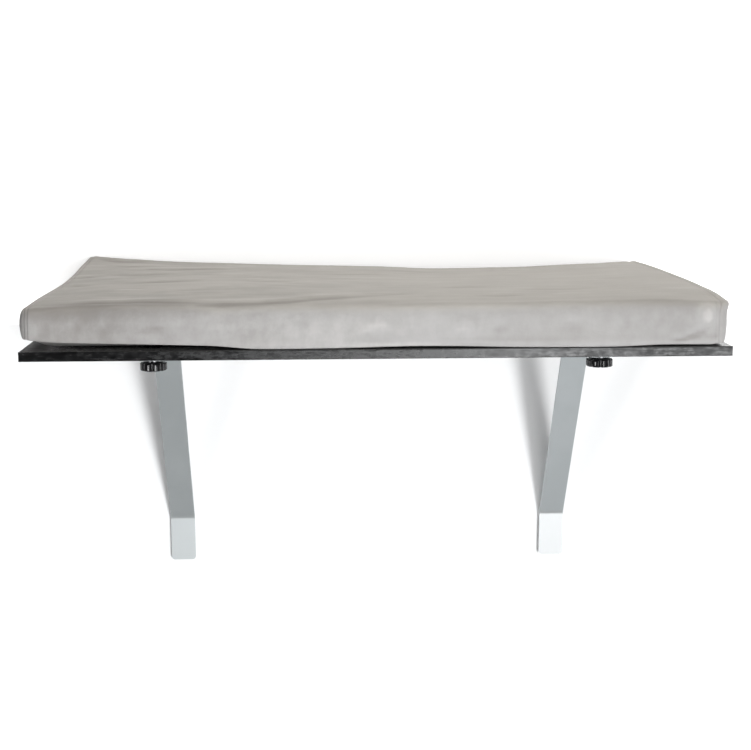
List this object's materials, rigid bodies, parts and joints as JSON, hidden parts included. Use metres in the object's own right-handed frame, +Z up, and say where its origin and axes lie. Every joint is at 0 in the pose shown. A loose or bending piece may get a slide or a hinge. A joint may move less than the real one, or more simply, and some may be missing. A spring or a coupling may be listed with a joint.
{
  "type": "window mounted cat perch",
  "caption": "Padded shelf that rests on a window sill and is braced to the wall by two bent flat-bar brackets, each clamped by a fluted knob.",
  "frame": {"origin": "middle of the face of the fixing tape that is stuck to the window sill", "axes": "+X along the shelf's width, +Y towards the window, +Z up"},
  "size_m": [0.61, 0.356, 0.3101],
  "materials": {
    "shelf_laminate": "black wood-grain laminate, satin",
    "edge_banding": "black wood-grain edging",
    "hook_tape": "woven hook tape",
    "loop_tape": "napped loop tape",
    "bracket_finish": "silver-grey satin coat on steel flat bar",
    "zinc_steel": "zinc plated",
    "black_zinc": "black zinc plated",
    "pad_rubber": "soft, matte",
    "knob_plastic": "glossy black moulding",
    "insert_brass": "turned",
    "foam": "open-cell foam",
    "cover_cloth": "short-napped grey velour",
    "zip_plastic": "woven tape with moulded teeth",
    "zip_metal": "grey lacquer"
  },
  "bodies": {
    "shelf": {"board": "shelf_laminate", "front_edge_band": "edge_banding", "rear_edge_band": "edge_banding", "left_edge_band": "edge_banding", "right_edge_band": "edge_banding", "sill_hook_tape": "hook_tape", "sill_loop_tape": "loop_tape", "cushion_hook_tapes": "hook_tape"},
    "left_support": {"left_bracket": "bracket_finish", "left_carriage_bolt": "zinc_steel", "left_guide_rivet": "zinc_steel", "left_foot_pad": "pad_rubber"},
    "right_support": {"right_bracket": "bracket_finish", "right_carriage_bolt": "zinc_steel", "right_guide_rivet": "zinc_steel", "right_foot_pad": "pad_rubber"},
    "left_clamp_washer": {"left_washer": "black_zinc"},
    "right_clamp_washer": {"right_washer": "black_zinc"},
    "left_clamp_knob": {"left_knob": "knob_plastic", "left_knob_insert": "insert_brass"},
    "right_clamp_knob": {"right_knob": "knob_plastic", "right_knob_insert": "insert_brass"},
    "cushion": {"foam_core": "foam", "cushion_cover": "cover_cloth", "cushion_loop_tapes": "loop_tape", "cover_zip": "zip_plastic"},
    "slider": {"zip_slider": "zip_metal"},
    "pull": {"zip_pull": "zip_metal"}
  },
  "joints": [
    {"name": "left_bracket_slide", "type": "slide", "parent": "shelf", "child": "left_support", "axis": [0, 1, 0], "range_m": [0, 0.05]},
    {"name": "right_bracket_slide", "type": "slide", "parent": "shelf", "child": "right_support", "axis": [0, 1, 0], "range_m": [0, 0.05]},
    {"name": "left_washer_drop", "type": "slide", "parent": "left_support", "child": "left_clamp_washer", "axis": [0, 0, -1], "range_m": [0, 0.002]},
    {"name": "right_washer_drop", "type": "slide", "parent": "right_support", "child": "right_clamp_washer", "axis": [0, 0, -1], "range_m": [0, 0.002]},
    {"name": "left_knob_turn", "type": "hinge", "parent": "left_clamp_washer", "child": "left_clamp_knob", "pos_m": [-0.195, -0.284, -0.0012], "axis": [0, 0, -1], "range_deg": [0, 720]},
    {"name": "right_knob_turn", "type": "hinge", "parent": "right_clamp_washer", "child": "right_clamp_knob", "pos_m": [0.195, -0.284, -0.0012], "axis": [0, 0, -1], "range_deg": [0, 720]},
    {"name": "cushion_lift", "type": "slide", "parent": "shelf", "child": "cushion", "axis": [0, 0, 1], "range_m": [0, 0.1]},
    {"name": "zip_slide", "type": "slide", "parent": "cushion", "child": "slider", "axis": [-1, 0, 0], "range_m": [0, 0.48]},
    {"name": "pull_swing", "type": "hinge", "parent": "slider", "child": "pull", "pos_m": [0.2505, 0.0415, 0.03025], "axis": [0, 0, -1], "range_deg": [0, 165]}
  ],
  "couplings": [
    {"joint": "left_washer_drop", "follows": "left_knob_turn", "m_per_rad": 0.00015915},
    {"joint": "right_washer_drop", "follows": "right_knob_turn", "m_per_rad": 0.00015915}
  ]
}
